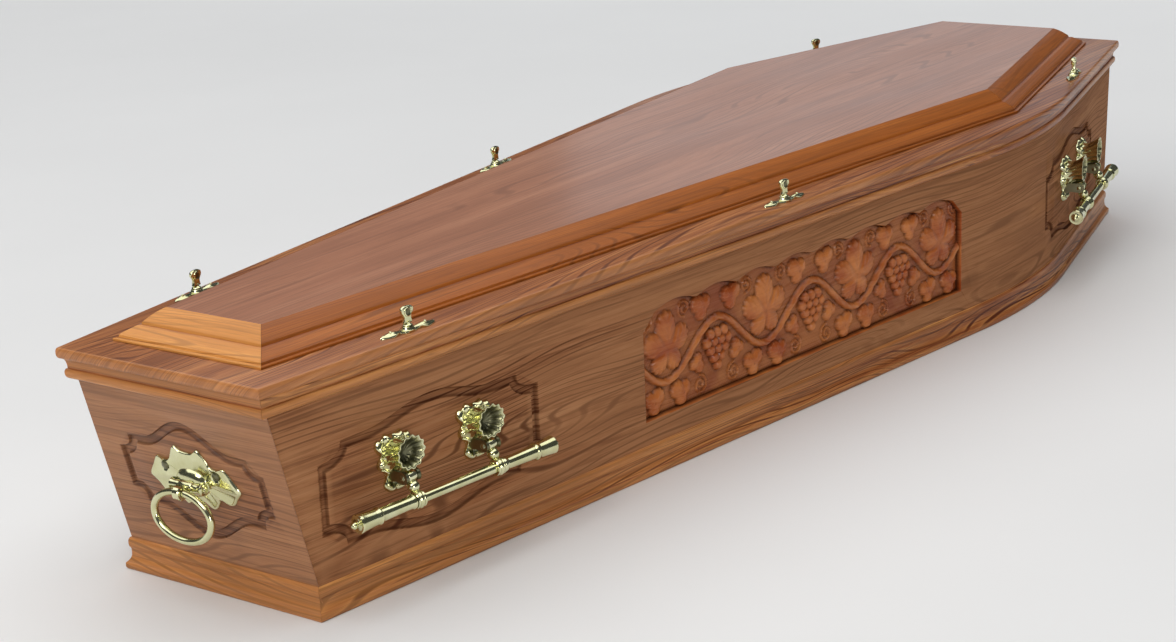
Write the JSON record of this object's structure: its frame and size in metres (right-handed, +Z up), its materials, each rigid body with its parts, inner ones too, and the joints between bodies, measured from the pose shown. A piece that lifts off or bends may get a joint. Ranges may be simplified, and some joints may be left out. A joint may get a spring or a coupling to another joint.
{
  "type": "wooden coffin",
  "caption": "Shouldered wooden coffin with raised lid, carved and routed boards, swinging bar handles, end rings and lid thumbscrews.",
  "frame": {"origin": "underside of the base, midway between the lid's foot and head edges and on the centre line", "axes": "+X from the foot to the head, +Y to the right hand of the person lying in it, +Z up"},
  "size_m": [2.0344, 0.6722, 0.3228],
  "materials": {
    "board": "stained and varnished, satin gloss",
    "moulding": "stained and varnished, warm orange-brown",
    "lid": "stained and varnished, high satin gloss",
    "brass": "polished, pale brassed"
  },
  "bodies": {
    "coffin": {"base_board": "board", "side_board_left": "board", "side_board_right": "board", "foot_board": "board", "head_board": "board", "base_moulding_foot": "moulding", "rim_moulding_foot": "moulding", "base_moulding_head": "moulding", "rim_moulding_head": "moulding", "base_moulding_left": "moulding", "rim_moulding_left": "moulding", "base_moulding_right": "moulding", "rim_moulding_right": "moulding", "lid_board": "lid", "lid_moulding_foot": "moulding", "lid_moulding_head": "moulding", "lid_moulding_left_long": "moulding", "lid_moulding_left_short": "moulding", "lid_moulding_right_long": "moulding", "lid_moulding_right_short": "moulding", "lid_panel": "lid", "bracket_left_foot_a": "brass", "bracket_left_foot_b": "brass", "bracket_left_head_a": "brass", "bracket_left_head_b": "brass", "bracket_right_foot_a": "brass", "bracket_right_foot_b": "brass", "bracket_right_head_a": "brass", "bracket_right_head_b": "brass", "ring_plate_foot": "brass", "ring_plate_head": "brass", "screw_plate_left_foot": "brass", "screw_plate_left_middle": "brass", "screw_plate_left_head": "brass", "screw_plate_right_foot": "brass", "screw_plate_right_middle": "brass", "screw_plate_right_head": "brass"},
    "handle_left_foot": {"arm_left_foot_a": "brass", "arm_left_foot_b": "brass", "bar_left_foot": "brass"},
    "handle_left_head": {"arm_left_head_a": "brass", "arm_left_head_b": "brass", "bar_left_head": "brass"},
    "handle_right_foot": {"arm_right_foot_a": "brass", "arm_right_foot_b": "brass", "bar_right_foot": "brass"},
    "handle_right_head": {"arm_right_head_a": "brass", "arm_right_head_b": "brass", "bar_right_head": "brass"},
    "ring_handle_foot": {"ring_foot": "brass"},
    "ring_handle_head": {"ring_head": "brass"},
    "lid_screw_left_foot": {"thumbscrew_left_foot": "brass"},
    "lid_screw_left_middle": {"thumbscrew_left_middle": "brass"},
    "lid_screw_left_head": {"thumbscrew_left_head": "brass"},
    "lid_screw_right_foot": {"thumbscrew_right_foot": "brass"},
    "lid_screw_right_middle": {"thumbscrew_right_middle": "brass"},
    "lid_screw_right_head": {"thumbscrew_right_head": "brass"}
  },
  "joints": [
    {"name": "swing_left_foot", "type": "hinge", "parent": "coffin", "child": "handle_left_foot", "pos_m": [-0.77003, -0.19953, 0.13742], "axis": [-0.9936, 0.1134, 0], "range_deg": [0, 75]},
    {"name": "swing_left_head", "type": "hinge", "parent": "coffin", "child": "handle_left_head", "pos_m": [0.69194, -0.27676, 0.13742], "axis": [-0.9657, -0.2596, 0], "range_deg": [0, 75]},
    {"name": "swing_right_foot", "type": "hinge", "parent": "coffin", "child": "handle_right_foot", "pos_m": [-0.77003, 0.19953, 0.13742], "axis": [0.9936, 0.1134, 0], "range_deg": [0, 75]},
    {"name": "swing_right_head", "type": "hinge", "parent": "coffin", "child": "handle_right_head", "pos_m": [0.69194, 0.27676, 0.13742], "axis": [0.9657, -0.2596, 0], "range_deg": [0, 75]},
    {"name": "swing_ring_foot", "type": "hinge", "parent": "coffin", "child": "ring_handle_foot", "pos_m": [-0.99749, 0, 0.13917], "axis": [0, 1, 0], "range_deg": [-8, 90]},
    {"name": "swing_ring_head", "type": "hinge", "parent": "coffin", "child": "ring_handle_head", "pos_m": [1.01121, 0, 0.14159], "axis": [0, -1, 0], "range_deg": [-8, 90]},
    {"name": "turn_left_foot", "type": "hinge", "parent": "coffin", "child": "lid_screw_left_foot", "pos_m": [-0.787, -0.1674, 0.2903], "axis": [0, 0, 1], "continuous": true},
    {"name": "turn_left_middle", "type": "hinge", "parent": "coffin", "child": "lid_screw_left_middle", "pos_m": [-0.129, -0.2425, 0.2903], "axis": [0, 0, 1], "continuous": true},
    {"name": "turn_left_head", "type": "hinge", "parent": "coffin", "child": "lid_screw_left_head", "pos_m": [0.723, -0.23736, 0.2903], "axis": [0, 0, 1], "continuous": true},
    {"name": "turn_right_foot", "type": "hinge", "parent": "coffin", "child": "lid_screw_right_foot", "pos_m": [-0.787, 0.1674, 0.2903], "axis": [0, 0, 1], "continuous": true},
    {"name": "turn_right_middle", "type": "hinge", "parent": "coffin", "child": "lid_screw_right_middle", "pos_m": [-0.129, 0.2425, 0.2903], "axis": [0, 0, 1], "continuous": true},
    {"name": "turn_right_head", "type": "hinge", "parent": "coffin", "child": "lid_screw_right_head", "pos_m": [0.723, 0.23736, 0.2903], "axis": [0, 0, 1], "continuous": true}
  ]
}
